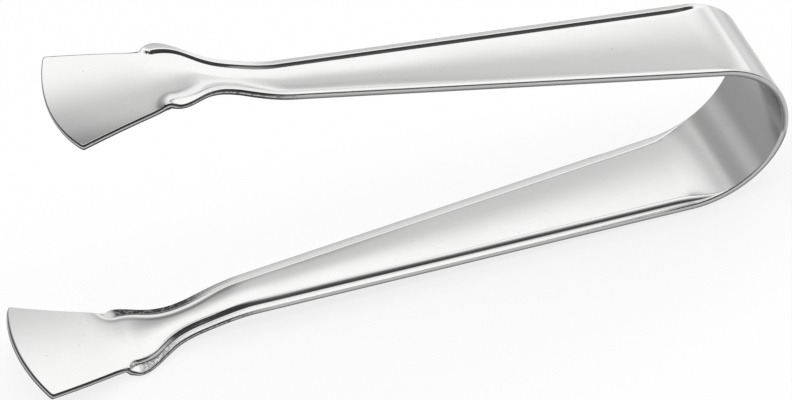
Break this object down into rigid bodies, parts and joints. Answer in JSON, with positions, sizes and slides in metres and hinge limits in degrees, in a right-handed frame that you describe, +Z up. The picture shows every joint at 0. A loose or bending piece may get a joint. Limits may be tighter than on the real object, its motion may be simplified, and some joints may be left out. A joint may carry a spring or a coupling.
{
  "type": "sugar tongs",
  "caption": "Spring tongs of polished steel: a plain bow, two tapering arms with pressed panels and small ears, and flat fan-shaped blades that close on a sugar lump.",
  "frame": {"origin": "on the table, under the middle of the tongs' box, with the tongs lying on their lower arm", "axes": "+X along the tongs towards the bow, +Y across the strip, +Z up; the arms open in the XZ plane"},
  "size_m": [0.1118, 0.0164, 0.0498],
  "materials": {
    "stainless_steel": "polished bright, soft mirror"
  },
  "bodies": {
    "lower_arm": {"lower_arm": "stainless_steel", "lower_blade": "stainless_steel"},
    "bow": {"bow": "stainless_steel"},
    "upper_arm": {"upper_arm": "stainless_steel", "upper_blade": "stainless_steel"}
  },
  "joints": [
    {"name": "lower_flex", "type": "hinge", "parent": "lower_arm", "child": "bow", "pos_m": [0.05094, 0, 0.00343], "axis": [0, -1, 0], "range_deg": [0, 11.6], "stiffness_Nm_per_rad": 2.5},
    {"name": "upper_flex", "type": "hinge", "parent": "bow", "child": "upper_arm", "pos_m": [0.05338, 0, 0.02008], "axis": [0, -1, 0], "range_deg": [0, 11.6], "stiffness_Nm_per_rad": 2.5}
  ],
  "couplings": [
    {"joint": "upper_flex", "follows": "lower_flex", "ratio": 1}
  ]
}
